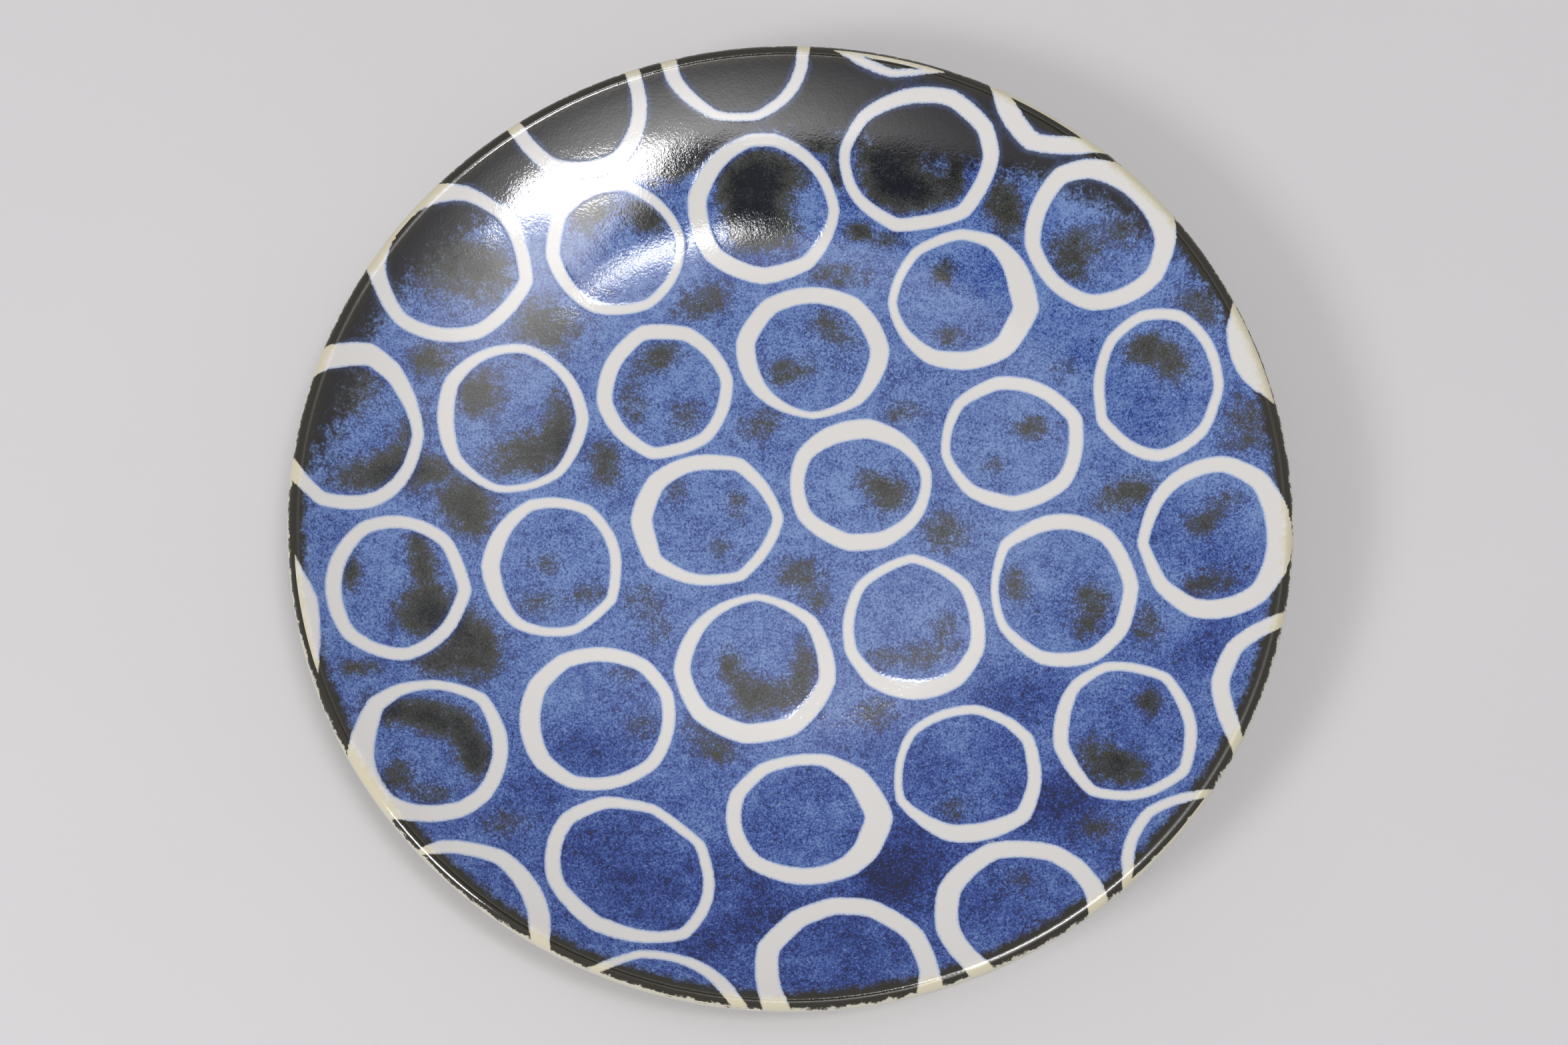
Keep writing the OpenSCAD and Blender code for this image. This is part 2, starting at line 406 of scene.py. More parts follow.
def owners(plan, triangles, strokes):
    """For each triangle, the stroke that it lies in, or -1 for the ground and -2 for a ring's centre."""
    middles = plan[triangles].mean(1)
    owner = np.full(len(triangles), -1)
    for k, stroke in enumerate(strokes):
        owner[held_by(stroke.outlines, middles)] = k
    sides = {}
    for k, t in enumerate(triangles.tolist()):
        for a, b in zip(t, t[1:] + t[:1]):
            sides.setdefault((min(a, b), max(a, b)), []).append(k)
    beside = [[] for _ in triangles]
    for pair in sides.values():
        if len(pair) == 2 and (owner[pair[0]] < 0) == (owner[pair[1]] < 0):
            beside[pair[0]].append(pair[1])
            beside[pair[1]].append(pair[0])
    seen = owner >= 0
    patches = []
    for start in np.where(owner == -1)[0]:
        if seen[start]:
            continue
        patch, ahead = [], [start]
        seen[start] = True
        while ahead:
            at = ahead.pop()
            patch.append(at)
            for other in beside[at]:
                if not seen[other]:
                    seen[other] = True
                    ahead.append(other)
        patches.append(patch)
    in_centre = held_by(outlines("ring_centres"), middles)
    for patch in patches:
        if in_centre[patch].mean() > 0.5:
            owner[patch] = -2
    return owner


# ---------------------------------------------------------------- where the pigment lies

# Dark iron patches that come through the blue: middle, half lengths, turn in degrees, strength. The strong
# patches 100 mm and more up the plate, by its far edge, are partly painted dark reflection.
DARK_PATCHES = [
    (-103, 46, 6, 6, 0, 0.8), (-70, 57, 11, 9, 20, 0.75), (-53, 15, 5, 8, 0, 0.8),
    (-92, 2, 8, 10, 30, 1.0), (-104, 13, 9, 4, 10, 0.6), (-25, 65, 10, 6, 20, 0.7),
    (-8, 27, 9, 5, 30, 0.6), (15, 73, 12, 5, -10, 0.6), (33, 30, 7, 4, 10, 0.6),
    (44, -6, 7, 6, 0, 0.8), (2, -18, 7, 5, 0, 0.7), (7, -26, 5, 4, 0, 0.55),
    (80, 42, 6, 4, 0, 0.4), (96, 4, 9, 5, 20, 0.9), (130, 20, 9, 9, 0, 0.6),
    (64, 91, 6, 11, 15, 0.95), (21, 86, 4, 3, 0, 0.9), (29, 83, 6, 3, 0, 0.6),
    (118, 55, 9, 6, -40, 0.7), (-90, -38, 9, 12, 25, 1.0),
    (-100, -45, 6, 5, 0, 0.7), (-119, -47, 7, 3, 10, 0.7), (-42, -24, 6, 6, 0, 0.5),
    (-37, -33, 5, 5, 0, 0.45), (-25, -62, 6, 5, 0, 0.6), (-20, -69, 6, 4, 0, 0.6),
    (23, -58, 7, 5, 20, 0.55), (99, -35, 5, 6, 0, 0.6), (-77, -89, 7, 4, 20, 0.6),
    (82, -92, 6, 4, 0, 0.6), (-58, 93, 6, 9, -30, 0.9), (-41, 91, 7, 6, 0, 1.0),
    (46, 73, 4, 5, 0, 0.8), (47, 53, 6, 4, 0, 0.6), (-128, 33, 12, 9, 30, 1.0),
    (-116, 10, 13, 6, 15, 1.0), (-108, 24, 4, 8, -20, 0.7), (-90, 36, 9, 8, 30, 0.8),
    (-66, 28, 5, 12, 0, 0.8), (-76, 18, 12, 7, 15, 0.9), (-38, 48, 8, 5, 20, 0.8),
    (-45, 34, 5, 8, 10, 0.6), (-30, 29, 5, 6, 0, 0.6), (11, 58, 5, 5, 0, 0.6),
    (17, 53, 5, 5, 0, 0.5), (0, 43, 9, 5, 15, 0.7), (103, 46, 7, 5, 0, 0.9),
    (111, 40, 5, 6, 0, 0.7), (70, 25, 6, 4, 0, 0.8), (58, 14, 4, 3, 0, 0.55),
    (29, 5, 6, 6, 0, 0.85), (22, 10, 5, 4, 0, 0.6), (-33, 8, 4, 5, 0, 0.55),
    (-15, 3, 4, 5, 0, 0.55), (-20, -10, 5, 4, 0, 0.5), (115, -7, 5, 4, 0, 0.8),
    (115, -25, 9, 5, 10, 0.7), (122, -1, 5, 4, 0, 0.6), (-69, -14, 5, 4, 0, 0.55),
    (-57, -23, 6, 4, 0, 0.55), (-71, -26, 7, 4, 0, 0.55), (-104, -13, 4, 8, 15, 1.0),
    (-102, -29, 8, 8, 0, 1.05), (-122.5, -19, 3, 6, 0, 1.0), (64, -22, 4, 6, 10, 0.7),
    (85, -27, 5, 6, 10, 0.85), (82, -35, 5, 4, 0, 0.6), (-17, -45, 4, 7, 20, 0.8),
    (-11, -54, 6, 6, 0, 0.85), (0, -52, 7, 6, 10, 0.75), (4, -43, 4, 7, 0, 0.65),
    (43, -33, 4, 5, 0, 0.6), (37, -42, 9, 4, 10, 0.65), (25, -42, 5, 4, 0, 0.5),
    (-47, -46, 5, 4, 0, 0.5), (-42, -61, 6, 5, 0, 0.5), (-112, -58, 6, 5, 0, 1.1),
    (-98, -60, 10, 5, -10, 1.1), (-87, -70, 5, 9, 25, 1.1), (-106, -76, 5, 5, 0, 0.7),
    (-97, -82, 7, 4, 0, 0.7), (98, -58, 4, 4, 0, 0.9), (83, -74, 7, 7, 0, 0.85),
    (91, -76, 5, 5, 0, 0.7), (44, -86, 5, 4, 0, 0.5), (60, -106, 6, 4, 0, 0.4),
    # the patches in these rows that lie 100 mm and more up the plate are partly painted dark reflection
    (-7, 103, 13, 8, 0, 1.3), (-12, 92, 8, 10, 0, 1.1), (30, 104, 9, 13, 10, 1.4),
    (42, 97, 9, 6, 0, 1.0), (83, 75, 8, 9, 0, 0.85), (99, 83, 8, 8, 0, 0.6),
    (-98, 74, 13, 12, 0, 0.9), (-4, 88, 9, 7, 0, 0.9), (-84, 70, 8, 10, 0, 0.5),
    (-31, 109, 11, 6, 28, 1.6), (-18, 116, 9, 4, 20, 1.3), (10, 113, 8, 3.5, -15, 1.2),
    (15, 103, 3, 5, 0, 0.9), (45, 112, 10, 6, 0, 0.8), (50, 104, 3, 8, 0, 0.8),
]

# Places where the cobalt is thick, so the blue is deeper
DEEP_PATCHES = [
    (65, -54, 12, 8, 0, 0.5), (120, -38, 9, 9, 0, 0.35), (112, -48, 8, 8, 0, 0.3),
    (-71, -81, 9, 6, 0, 0.3), (70, -86, 14, 9, 20, 0.6), (30, -100, 13, 11, 0, 0.7),
    (22, -106, 9, 8, 0, 0.4), (-8, -110, 10, 8, 0, 0.45), (-20, -121, 12, 7, 10, 0.45),
    (-44, -103, 20, 13, -25, 0.5), (57, -68, 6, 6, 0, 0.5), (36, -72, 9, 9, 0, 0.3),
    (120, -20, 12, 14, 0, 0.35), (104, -8, 7, 9, 0, 0.3), (8, -77, 9, 5, 0, 0.2),
    (-5, -93, 9, 6, 0, 0.2), (13, -126, 18, 14, 0, 0.4), (96, -62, 10, 12, 0, 0.3),
    (-53, -68, 14, 8, 0, 0.3), (57, 72, 12, 8, 0, 0.3), (60, 52, 8, 8, 0, 0.2),
    (104, 26, 12, 8, 0, 0.3), (-12, 78, 10, 6, 0, 0.3), (50, 108, 10, 12, 0, 0.3),
    (-60, 70, 12, 6, 0, 0.2), (48, -110, 12, 12, 0, 0.3), (84, -36, 12, 6, 0, 0.2),
]


# How fast a patch fades from its middle, and how sharp its edge is
FADE = 0.95
FADE_EDGE = 1.2


def spread(patches, x, y):
    """How much of the patches' pigment lies at each place."""
    total = np.zeros(len(x))
    for px, py, half_x, half_y, turn, strength in patches:
        c, s = math.cos(math.radians(turn)), math.sin(math.radians(turn))
        dx, dy = x - px, y - py
        along, across = dx * c + dy * s, dy * c - dx * s
        out = (along / half_x) ** 2 + (across / half_y) ** 2
        total += strength * np.exp(-FADE * out ** FADE_EDGE)
    return total


def eased(low, high, value):
    """0 below low, 1 above high, and a smooth rise between."""
    t = np.clip((value - low) / (high - low), 0, 1)
    return t * t * (3 - 2 * t)


def far_dark_glaze_and_reflection(x, y):
    """How much dark covers the plate's far edge, partly a dark glaze and partly painted reflection."""
    r, turn = np.hypot(x, y), np.degrees(np.arctan2(y, x)) % 360
    arc = eased(5, 40, turn) * (1 - eased(165, 188, turn))
    out = 8 * eased(125, 155, turn) + 12 * (1 - eased(30, 60, turn))
    near = 8 * eased(50, 75, turn) * (1 - eased(105, 130, turn))
    return 1.15 * arc * eased(112, 131, r - out + near)


def pigment(x, y):
    """The three pigment maps at each place: dark iron, the far edge's dark glaze with painted reflection,
    and thick cobalt.
    """
    dark = np.clip(spread(DARK_PATCHES, x, y), 0, 1.5)
    far = far_dark_glaze_and_reflection(x, y)
    deep = 0.26 + 0.19 * (1 - eased(-120, 0, y)) + 0.6 * spread(DEEP_PATCHES, x, y) + 0.12 * dark
    return dark, far, np.clip(deep, 0, 0.9)


# ---------------------------------------------------------------- meshes

def vertex_normals(points, triangles):
    """Smooth normals of a skin, weighted by area."""
    a, b, c = (points[triangles[:, k]] for k in range(3))
    flat = np.cross(b - a, c - a)
    normals = np.zeros_like(points)
    for k in range(3):
        np.add.at(normals, triangles[:, k], flat)
    return normals / np.linalg.norm(normals, axis=1)[:, None]


def coat_piece(name, skin, triangles, depth, material):
    """A closed piece under part of a skin: the skin itself, its underside and the walls between."""
    used, local = np.unique(triangles, return_inverse=True)
    local = local.reshape(-1, 3)
    count = len(used)
    normals = skin["normals"][used]
    top = skin["points"][used]
    points = np.vstack([top, top - depth * normals]) * MM
    walls = [(b, a, a + count, b + count) for a, b in sorted(rim_edges(local))]
    faces = local.tolist() + (local[:, ::-1] + count).tolist() + walls
    mesh = bpy.data.meshes.new(name)
    mesh.from_pydata(points.tolist(), [], faces)
    for key in skin["maps"]:
        layer = mesh.attributes.new(key, "FLOAT", "POINT")
        values = skin["maps"][key][used]
        layer.data.foreach_set("value", np.tile(values, 2).astype(np.float32))
    mesh.polygons.foreach_set("use_smooth", np.ones(len(mesh.polygons), bool))
    upper = normals[local].reshape(-1, 3)
    lower = -normals[local[:, ::-1]].reshape(-1, 3)
    by_corner = np.vstack([upper, lower, np.zeros((4 * len(walls), 3))])
    mesh.normals_split_custom_set(by_corner.tolist())
    mesh.materials.append(material)
    piece = bpy.data.objects.new(name, mesh)
    bpy.context.scene.collection.objects.link(piece)
    return piece


def grid_between(rows):
    """Triangles between rows of point numbers that each go once round."""
    found = []
    for low, high in zip(rows, rows[1:]):
        a, b = np.array(low), np.roll(low, -1)
        c, d = np.roll(high, -1), np.array(high)
        found += [np.column_stack([a, d, c]), np.column_stack([a, c, b])]
    return np.vstack(found)


def painted_skin(strokes):
    """The face and the lip as one skin, with its pigment maps and the owner of each triangle."""
    plan, triangles, from_edge = cut_face(strokes)
    owner = owners(plan, triangles, strokes)
    r = np.hypot(plan[:, 0], plan[:, 1])
    gap = np.array([from_edge(p) for p in plan])
    gap[gap < ON_EDGE] = 0
    in_stroke = np.zeros(len(plan), bool)
    in_stroke[triangles[owner >= 0]] = True
    distance = np.where(in_stroke, gap, -gap)
    turns = np.arctan2(plan[:, 1], plan[:, 0])
    border = np.where(r > SECTION.face_r - 0.02)[0]
    border = border[np.argsort(turns[border])]

    # the strokes run on over the lip, and the edges' own finder stops at the face
    from_run_on = nearest(np.vstack([
        resampled(edge, FINE_STEP, closed)
        for stroke in strokes for edge, closed in zip(stroke.edges, stroke.closed)
    ]))

    def signed(places):
        gaps = np.array([from_run_on(p) for p in places])
        within = np.zeros(len(places), bool)
        for stroke in strokes:
            within |= held_by(stroke.outlines, places)
        return np.where(within, gaps, -gaps)

    distance[border] = signed(plan[border] * 0.999)
    points = [np.column_stack([plan, SECTION.face_height(r)])]
    mapped = [plan]
    distances, crest = [distance], [SECTION.crest_to_face(r)]
    rows, count = [border], len(plan)
    around = np.column_stack([np.cos(turns[border]), np.sin(turns[border])])
    widest = 0
    for share in np.linspace(0, 1, LIP_STEPS + 1)[1:]:
        lip_r, lip_z = SECTION.round_lip(share)
        points.append(np.column_stack([lip_r * around, np.full(len(border), lip_z)]))
        if lip_r > widest:
            widest = lip_r
            distances.append(signed(lip_r * around))
        else:
            distances.append(distances[-1])
        mapped.append(widest * around)
        crest.append(np.full(len(border), SECTION.from_crest(share)))
        rows.append(np.arange(count, count + len(border)))
        count += len(border)
    points = np.vstack(points)
    distance = np.concatenate(distances)
    crest = np.concatenate(crest)
    dark, far, deep = pigment(*np.vstack(mapped).T)

    lip_triangles = grid_between(rows)
    both = np.vstack([triangles, lip_triangles])
    normals = vertex_normals(points, both)
    calm = 1 - eased(-6, -1.5, crest)
    dip = STROKE_DIP * eased(-0.7, 0.7, distance)
    wave = np.array([noise.noise(Vector(p) / WAVE_LENGTH) for p in points.tolist()])
    ripple = np.array([noise.noise(Vector(p) / (WAVE_LENGTH / 3)) for p in points.tolist()])
    sink = dip + WAVE_HEIGHT * (0.5 + 0.5 * wave) + WAVE_HEIGHT / 3 * (0.5 + 0.5 * ripple)
    points = points - normals * (sink * calm)[:, None]
    skin = {
        "points": points,
        "normals": vertex_normals(points, both),
        "maps": {"stroke": distance, "dark": dark, "far": far, "deep": deep, "crest": crest},
        "turns": turns[border],
    }
    return skin, triangles, owner, lip_triangles


def turned_skin(profile, turns):
    """A skin turned from a profile of (radius, height) points. A radius of 0 closes it."""
    points, rows = [], []
    for r, z in profile:
        rows.append(np.arange(len(turns)) + len(turns) * len(rows))
        points.append(np.column_stack([
            r * np.cos(turns), r * np.sin(turns), np.full(len(turns), z)
        ]))
    points = np.vstack(points)
    triangles = grid_between(rows)
    if profile[-1][0] == 0:
        hub = rows[-1][0]
        triangles = np.where(np.isin(triangles, rows[-1]), hub, triangles)
        keep = [len(set(t)) == 3 for t in triangles.tolist()]
        triangles = triangles[keep]
    return points, triangles


def along(profile, step):
    """The profile with more points, about a step apart."""
    dense = [profile[0]]
    for a, b in zip(profile, profile[1:]):
        parts = max(1, round(math.dist(a, b) / step))
        dense += [
            (a[0] + (b[0] - a[0]) * k / parts, a[1] + (b[1] - a[1]) * k / parts)
            for k in range(1, parts + 1)
        ]
    return dense


def skin_of(points, triangles):
    """A plain skin, turned so that its middle triangle looks down."""
    a, b, c = points[triangles[len(triangles) // 2]]
    if np.cross(b - a, c - a)[2] > 0:
        triangles = triangles[:, ::-1]
    return {"points": points, "normals": vertex_normals(points, triangles), "maps": {}}, triangles


# ---------------------------------------------------------------- materials

class Nodes:
    """A node tree, with short ways to add its nodes."""

    def __init__(self, tree):
        self.tree = tree

    def add(self, kind, **settings):
        made = self.tree.nodes.new(kind)
        for key, value in settings.items():
            setattr(made, key, value)
        return made

    def plug(self, socket, value):
        if isinstance(value, bpy.types.NodeSocket):
            self.tree.links.new(value, socket)
        else:
            socket.default_value = value

    def calc(self, operation, *values):
        made = self.add("ShaderNodeMath", operation=operation)
        for socket, value in zip(made.inputs, values):
            self.plug(socket, value)
        return made.outputs[0]

    def stir(self, value, *noises):
        """The value, made ragged by noises that are each given with a strength."""
        for source, strength in noises:
            moved = self.calc("MULTIPLY_ADD", source, strength, -strength / 2)
            value = self.calc("ADD", value, moved)
        return value

    def step(self, value, low, high):
        """0 below low, 1 above high, smooth between."""
        made = self.add("ShaderNodeMapRange", interpolation_type="SMOOTHSTEP")
        self.plug(made.inputs["Value"], value)
        made.inputs["From Min"].default_value = low
        made.inputs["From Max"].default_value = high
        return made.outputs["Result"]

    def ramp(self, value, stops):
        made = self.add("ShaderNodeValToRGB")
        self.plug(made.inputs[0], value)
        elements = made.color_ramp.elements
        while len(elements) < len(stops):
            elements.new(0.5)
        for element, (at, colour) in zip(elements, stops):
            element.position = at
            element.color = (*colour, 1)
        return made.outputs["Color"]

    def blend(self, share, first, second):
        made = self.add("ShaderNodeMix", data_type="RGBA")
        for socket, value in zip((made.inputs[0], made.inputs[6], made.inputs[7]), (share, first, second)):
            self.plug(socket, (*value, 1) if isinstance(value, tuple) else value)
        return made.outputs[2]


class Shader(Nodes):
    """A material with one shader, whose noises are measured in millimetres."""

    def __init__(self, name):
        self.material = bpy.data.materials.new(name)
        self.material.use_nodes = True
        super().__init__(self.material.node_tree)
        self.surface = self.tree.nodes["Principled BSDF"]
        where = self.add("ShaderNodeTexCoord")
        scaled = self.add("ShaderNodeVectorMath", operation="SCALE")
        self.plug(scaled.inputs[0], where.outputs["Object"])
        scaled.inputs["Scale"].default_value = 1 / MM
        self.place = scaled.outputs[0]

    def noise(self, length, detail=2, rough=0.5):
        """Noise from 0 to 1 whose features are about a length across, in millimetres."""
        made = self.add("ShaderNodeTexNoise")
        self.plug(made.inputs["Vector"], self.place)
        made.inputs["Scale"].default_value = 1 / length
        made.inputs["Detail"].default_value = detail
        made.inputs["Roughness"].default_value = rough
        return made.outputs["Fac"]

    def map(self, name):
        """One of the piece's pigment maps."""
        return self.add("ShaderNodeAttribute", attribute_name=name).outputs["Fac"]

    def bump(self, height, distance, socket="Normal"):
        """A relief as high as distance, in millimetres, on the surface or on its gloss coat."""
        made = self.add("ShaderNodeBump")
        self.plug(made.inputs["Height"], height)
        made.inputs["Distance"].default_value = distance * MM
        self.plug(self.surface.inputs[socket], made.outputs[0])

    def finish(self, colour, roughness, coat=0.0):
        self.plug(self.surface.inputs["Base Color"], colour)
        self.plug(self.surface.inputs["Roughness"], roughness)
        self.surface.inputs["Specular IOR Level"].default_value = BASE_SHINE
        self.surface.inputs["Coat Weight"].default_value = coat
        self.surface.inputs["Coat Roughness"].default_value = GLOSS_ROUGHNESS
        self.surface.inputs["Coat IOR"].default_value = GLOSS_IOR
        return self.material


# The shine under the clear gloss, and the gloss itself
BASE_SHINE = 0.1
GLOSS_ROUGHNESS = 0.03
GLOSS_IOR = 1.6

# Cobalt blue from thin to thick
COBALT = [
    (0.0, (0.180, 0.280, 0.54)),
    (0.25, (0.108, 0.182, 0.42)),
    (0.5, (0.042, 0.088, 0.325)),
    (0.75, (0.010, 0.030, 0.185)),
    (1.0, (0.004, 0.008, 0.045)),
]
# Iron from a thin olive patch to a thick black one
IRON = [
    (0.0, (0.088, 0.088, 0.060)),
    (0.5, (0.046, 0.047, 0.034)),
    (1.0, (0.004, 0.005, 0.005)),
]
# Near black of the far edge, partly dark glaze and partly painted dark reflection
FAR_DARK_AND_REFLECTION = (0.012, 0.011, 0.014)
BROWN = (0.020, 0.017, 0.010)
WHITE = (0.70, 0.685, 0.67)
BLED = (0.42, 0.50, 0.68)
CREAM = (0.62, 0.57, 0.42)
BACK_CREAM = (0.58, 0.56, 0.47)


def painted_glaze(name):
    """Cobalt blue with iron patches, and white strokes with bled edges, under a clear gloss."""
    s = Shader(name)
    grain = s.noise(0.45, 1)
    fine = s.noise(0.8, 3, 0.6)
    clump = s.noise(3.2, 4, 0.62)
    cloud = s.noise(12, 3, 0.6)
    edge = s.stir(s.map("stroke"), (fine, 0.7), (clump, 0.4))
    white = s.step(edge, -0.15, 0.35)
    # the dark pigments and the painted dark reflection stay clear of the strokes, where the blue shows
    clear = s.step(s.stir(s.map("stroke"), (clump, 3.0)), -0.2, -1.6)
    deep, far = s.map("deep"), s.map("far")
    dark = s.stir(s.map("dark"), (grain, 0.5), (fine, 0.6), (clump, 1.1), (cloud, 0.5))
    tone = s.stir(deep, (grain, 1.1), (fine, 1.1), (clump, 0.6), (cloud, 0.7))
    blue = s.ramp(s.calc("MULTIPLY_ADD", s.step(dark, 0.0, 1.0), 0.3, tone), COBALT)
    # iron patches; those by the far edge are partly painted dark reflection
    iron = s.calc("MULTIPLY", s.step(dark, 0.12, 0.85), s.calc("MULTIPLY_ADD", clear, 0.5, 0.45))
    thick = s.calc("MULTIPLY_ADD", s.calc("SUBTRACT", deep, 0.5), 1.2, s.calc("MULTIPLY", dark, 0.75))
    thick = s.stir(thick, (grain, 0.8))
    ground = s.blend(iron, blue, s.ramp(thick, IRON))
    # the far edge's dark: partly dark glaze, partly painted reflection of the dark shape over the plate
    far_dark_share = s.step(s.stir(far, (fine, 0.6), (clump, 1.2)), 0.15, 0.85)
    ground = s.blend(s.calc("MULTIPLY", far_dark_share, s.calc("MULTIPLY_ADD", clear, 0.25, 0.75)), ground, FAR_DARK_AND_REFLECTION)
    crest = s.stir(s.map("crest"), (fine, 1.6), (clump, 4.0))
    rim = s.calc("MULTIPLY", s.step(crest, -4.0, -1.2), s.step(s.stir(clump, (grain, 0.5)), -0.75, -0.1))
    ground = s.blend(rim, ground, BROWN)
    stroke = s.blend(s.step(edge, 0.9, 0.1), WHITE, BLED)
    stroke = s.blend(s.step(crest, -1.6, 1.0), stroke, CREAM)
    colour = s.blend(white, ground, stroke)
    colour = s.blend(s.step(crest, 2.2, 3.0), colour, BACK_CREAM)
    s.bump(fine, 0.02)
    s.bump(s.calc("MULTIPLY_ADD", clump, 1.2, fine), 0.014, "Coat Normal")
    return s.finish(colour, s.calc("MULTIPLY_ADD", clump, 0.2, 0.35), coat=1.0)


def back_glaze():
    """Cream glaze with a faint speckle."""
    s = Shader("cream_back_glaze")
    cloud = s.noise(18, 3, 0.6)
    speck = s.step(s.noise(0.9, 2, 0.5), 0.70, 0.76)
    colour = s.blend(cloud, BACK_CREAM, (0.56, 0.53, 0.43))
    colour = s.blend(s.calc("MULTIPLY", speck, 0.5), colour, (0.20, 0.16, 0.10))
    s.bump(cloud, 0.12)
    return s.finish(colour, s.calc("MULTIPLY_ADD", cloud, 0.15, 0.25), coat=1.0)


def bare_clay(name):
    """Unglazed stoneware, turned on the wheel, with coarse grains."""
    s = Shader(name)
    grain = s.noise(0.5, 3, 0.6)
    cloud = s.noise(9, 3, 0.6)
    speck = s.step(s.noise(0.7, 2, 0.6), 0.66, 0.72)
    colour = s.blend(cloud, (0.40, 0.29, 0.19), (0.50, 0.38, 0.26))
    colour = s.blend(s.calc("MULTIPLY", grain, 0.5), colour, (0.30, 0.21, 0.13))
    colour = s.blend(speck, colour, (0.16, 0.10, 0.06))
    s.bump(grain, 0.18)
    return s.finish(colour, 0.85)


# ---------------------------------------------------------------- the pieces

def build_painting():
    edge_r = SECTION.face_r + 0.05
    strokes = [Stroke(name, edge_r) for name in RING_NAMES]
    skin, triangles, owner, lip_triangles = painted_skin(strokes)
    blue, white = painted_glaze("blue_painted_glaze"), painted_glaze("white_painted_glaze")
    ground = coat_piece("glazed_ground", skin, triangles[owner == -1], COAT, blue)
    place(ground, "blue", "blue_ground", "clear_gloss")
    centres = coat_piece("glazed_ring_centres", skin, triangles[owner == -2], COAT, blue)
    place(centres, "blue", "ring_centres")
    for k, stroke in enumerate(strokes):
        ring = coat_piece("brushed_" + stroke.name, skin, triangles[owner == k], COAT, white)
        place(ring, "white", stroke.name)
    lip = coat_piece("glazed_lip", skin, lip_triangles, COAT, painted_glaze("breaking_lip_glaze"))
    place(lip, "lip_glaze", "lip_glaze")
    return skin["turns"]


def place(piece, slot, *nodes):
    """The piece rides with the plate and stands for CAD nodes, which it hides. The slot is not used."""
    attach(piece, "root")
    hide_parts(*nodes)


def build_back(turns):
    """The glazed back, the foot it stands on, and the glazed hollow inside the foot."""
    glaze, clay = back_glaze(), bare_clay("turned_foot_clay")
    well_z = box_mm("foot_well_glaze")[0][2]
    points = welded("foot_ring")[0]
    r = np.hypot(points[:, 0], points[:, 1])
    flat = r[points[:, 2] < 0.01]
    low_side = r[points[:, 2] < 3]
    out_r, in_r = low_side.max(), low_side.min()
    bevel = out_r - flat.max()
    root_out = r.max()
    root_in = r[points[:, 2] > well_z - 0.3].min()

    sweep = np.linspace(SECTION.end, 0, BACK_STEPS + 1)
    arc = [tuple(float(v) for v in SECTION.along_arc(a, SECTION.depth)) for a in sweep]
    wall = [p for p in arc if p[0] > root_out]
    root_z = SECTION.floor_z + SECTION.arc_r - math.sqrt(
        (SECTION.arc_r + SECTION.depth) ** 2 - (root_out - SECTION.floor_r) ** 2
    )
    back_points, back_triangles = turned_skin(wall + [(root_out, root_z)], turns)
    skin, back_triangles = skin_of(back_points, back_triangles)
    place(coat_piece("glazed_back", skin, back_triangles, BACK_COAT, glaze), "back_glaze", "back_glaze")

    well = along([(root_in, well_z), (0, well_z)], 4)
    well_points, well_triangles = turned_skin(well, turns[::3])
    skin, well_triangles = skin_of(well_points, well_triangles)
    piece = coat_piece("glazed_foot_well", skin, well_triangles, BACK_COAT, glaze)
    place(piece, "back_glaze", "foot_well_glaze")

    profile = foot_profile(in_r, out_r, bevel, root_in, root_out, well_z, root_z)
    foot_points, foot_triangles = turned_skin(profile, turns[::2])
    skin, foot_triangles = skin_of(foot_points, foot_triangles)
    place(coat_piece("turned_foot", skin, foot_triangles, FOOT_COAT, clay), "clay", "foot_ring")


def foot_profile(in_r, out_r, bevel, root_in, root_out, in_z, out_z):
    """The foot's section from its outer root to its inner root, with bevelled edges."""
    corners = [
        (root_out, out_z), (out_r, bevel), (out_r - bevel, 0), (in_r + bevel, 0), (in_r, bevel),
        (root_in, in_z),
    ]
    return along(corners, 0.8)


def finish_clay():
    """The clay body keeps its CAD shape under the coats."""
    body = NODES["clay_body"]
    body.data.materials.clear()
    body.data.materials.append(bare_clay("stoneware_body"))


# ---------------------------------------------------------------- the studio

CAMERA_LENS = 48.98
CAMERA_DISTANCE = 593.1
CAMERA_ELEVATION = 73.92
CAMERA_ROLL = -0.589
CAMERA_AIM = (-1.77, -7.02)

# The room's light, and the glow round the lamp: where it is, as sideways travel over rise, and its reach
ROOM_LEVEL = 0.42
GLOW_AT = (0.16, -0.10)
GLOW_REACH = 0.24
GLOW_LEVEL = 6.5
# The dark shape, in the same travel: where each side starts and is full, its slant and how dark it is
DARK_LEFT, DARK_RIGHT = (-0.45, -0.28), (0.175, 0.145)
DARK_NEAR, DARK_FAR = (-0.22, -0.18), (0.14, 0.12)
DARK_SLANT = 0.3
DARK_SHARE = 0.99
# Light panels: name, place, what they face, size, power and colour, in metres and watts
PANELS = [
    ("window", (-1.2, -0.75, 1.15), (0, 0, 0), (0.42, 0.42), 12, (1.0, 0.99, 0.98)),
    ("lamp", (0.34, -0.13, 1.5), (0.34, -0.13, 0), (0.30, 0.15), 4, (1, 1, 1)),
    ("lamp_side", (0.27, 0.50, 4.0), (0.27, 0.50, 0), (0.30, 0.18), 3.7, (1, 1, 1)),
]


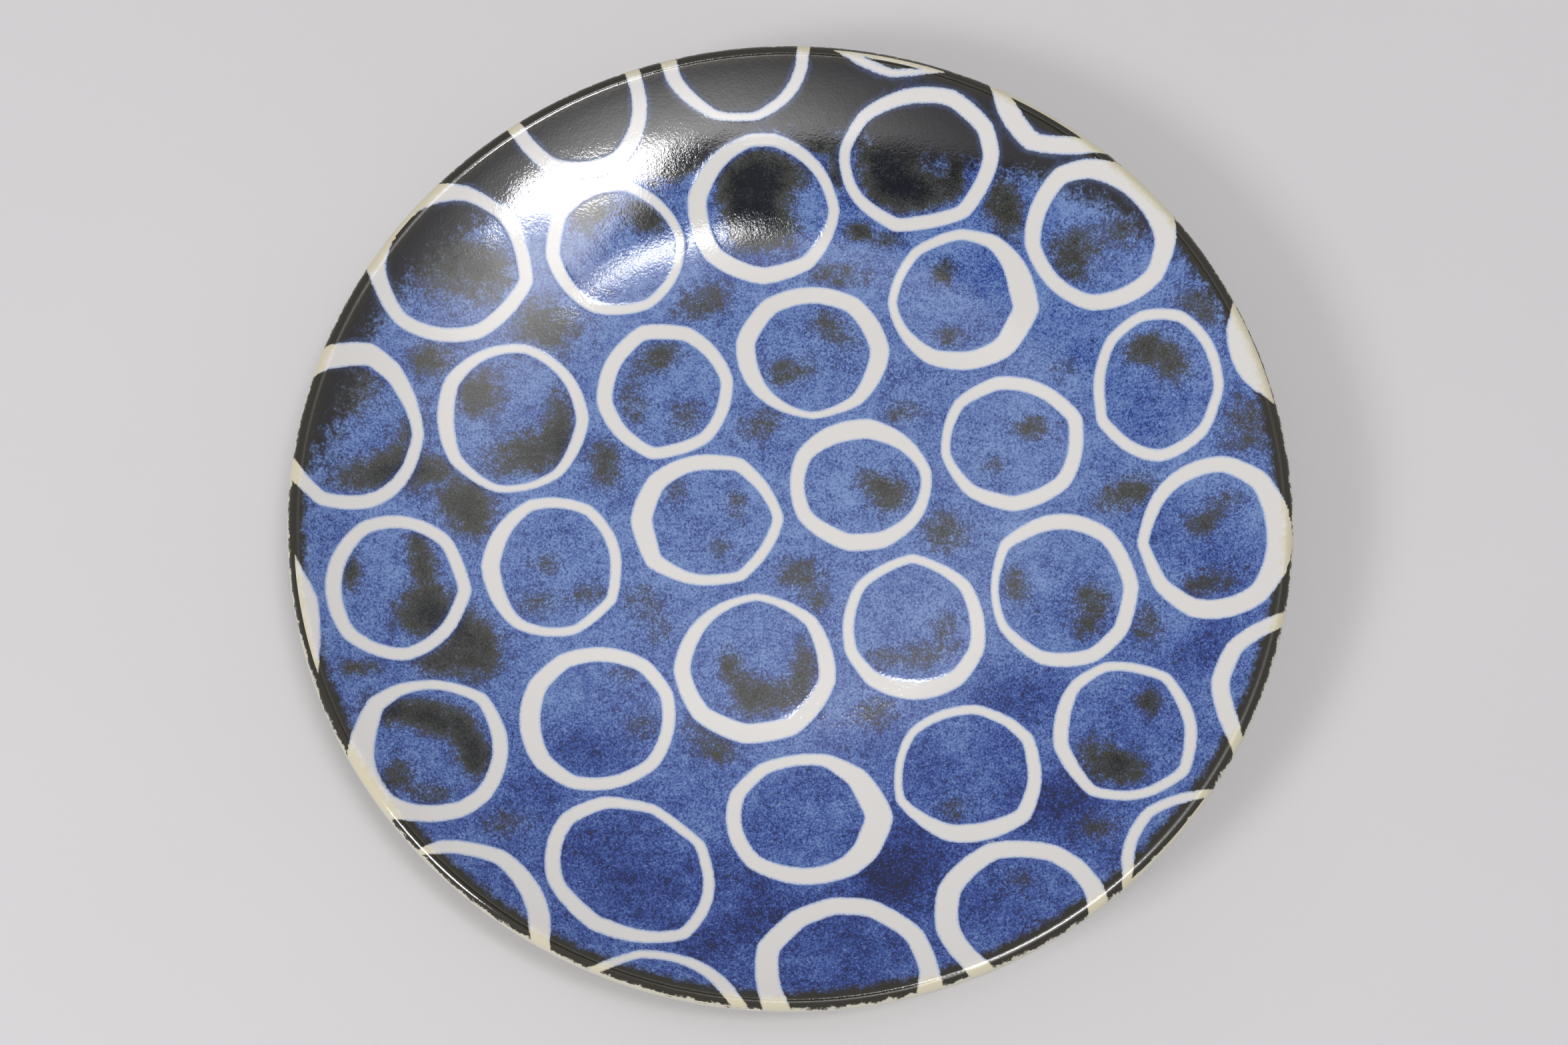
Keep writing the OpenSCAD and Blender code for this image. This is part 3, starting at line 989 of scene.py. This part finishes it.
def add_camera():
    data = bpy.data.cameras.new("camera")
    data.lens = CAMERA_LENS
    data.sensor_width = 36
    camera = bpy.data.objects.new("camera", data)
    bpy.context.scene.collection.objects.link(camera)
    tilt = math.radians(CAMERA_ELEVATION)
    look = Vector((0, math.cos(tilt), -math.sin(tilt)))
    right = Vector((1, 0, 0))
    up = right.cross(look)
    lip_middle = SECTION.along_arc(SECTION.end, SECTION.lip_r)[1]
    aim = Vector((*CAMERA_AIM, lip_middle))
    turn = Matrix((right, up, -look)).transposed() @ Matrix.Rotation(math.radians(CAMERA_ROLL), 3, "Z")
    camera.matrix_world = Matrix.Translation((aim - look * CAMERA_DISTANCE) * MM) @ turn.to_4x4()
    bpy.context.scene.camera = camera


def add_panel(name, place, aim, size, power, colour):
    """A soft light panel. Lengths are in metres."""
    data = bpy.data.lights.new(name, "AREA")
    data.shape = "RECTANGLE"
    data.size, data.size_y = size
    data.energy = power
    data.color = colour
    light = bpy.data.objects.new(name, data)
    light.location = place
    light.rotation_euler = (Vector(aim) - Vector(place)).to_track_quat("-Z", "Y").to_euler()
    bpy.context.scene.collection.objects.link(light)


def add_ceiling():
    """The room's light: brightest round the lamp, with one dark shape right over the plate."""
    world = bpy.data.worlds.new("room")
    world.use_nodes = True
    bpy.context.scene.world = world
    s = Nodes(world.node_tree)
    split = s.add("ShaderNodeSeparateXYZ")
    s.plug(split.inputs[0], s.add("ShaderNodeTexCoord").outputs["Generated"])
    rise = s.calc("MAXIMUM", split.outputs["Z"], 0.05)
    x, y = (s.calc("DIVIDE", split.outputs[axis], rise) for axis in "XY")
    away = [s.calc("POWER", s.calc("SUBTRACT", at, lamp), 2.0) for at, lamp in zip((x, y), GLOW_AT)]
    glow = s.calc("EXPONENT", s.calc("MULTIPLY", s.calc("ADD", *away), -1 / GLOW_REACH**2))
    light = s.calc("MULTIPLY_ADD", glow, GLOW_LEVEL, ROOM_LEVEL)
    sides = s.calc("MULTIPLY", s.step(x, *DARK_LEFT), s.step(x, *DARK_RIGHT))
    slanted = s.calc("MULTIPLY_ADD", x, DARK_SLANT, y)
    ends = s.calc("MULTIPLY", s.step(y, *DARK_NEAR), s.step(slanted, *DARK_FAR))
    shape = s.calc("MULTIPLY", sides, ends)
    light = s.calc("MULTIPLY", light, s.calc("MULTIPLY_ADD", shape, -DARK_SHARE, 1.0))
    sky = world.node_tree.nodes["Background"]
    sky.inputs["Color"].default_value = (1.0, 0.985, 0.985, 1)
    s.plug(sky.inputs["Strength"], light)


def add_studio():
    add_ceiling()
    for panel in PANELS:
        add_panel(*panel)
    view = bpy.context.scene.view_settings
    view.view_transform = "Standard"
    view.look = "None"


def add_floor():
    """A pale table top with a faint unevenness."""
    mesh = bpy.data.meshes.new("floor")
    corners = [(-3, -3, 0), (3, -3, 0), (3, 3, 0), (-3, 3, 0)]
    mesh.from_pydata(corners, [], [(0, 1, 2, 3)])
    s = Shader("pale_floor")
    colour = s.blend(s.noise(120, 3, 0.5), (0.63, 0.62, 0.635), (0.66, 0.65, 0.665))
    s.finish(colour, 0.7)
    mesh.materials.append(s.material)
    floor = bpy.data.objects.new("floor", mesh)
    bpy.context.scene.collection.objects.link(floor)


rim_turns = build_painting()
build_back(rim_turns)
finish_clay()
add_camera()
add_studio()
add_floor()
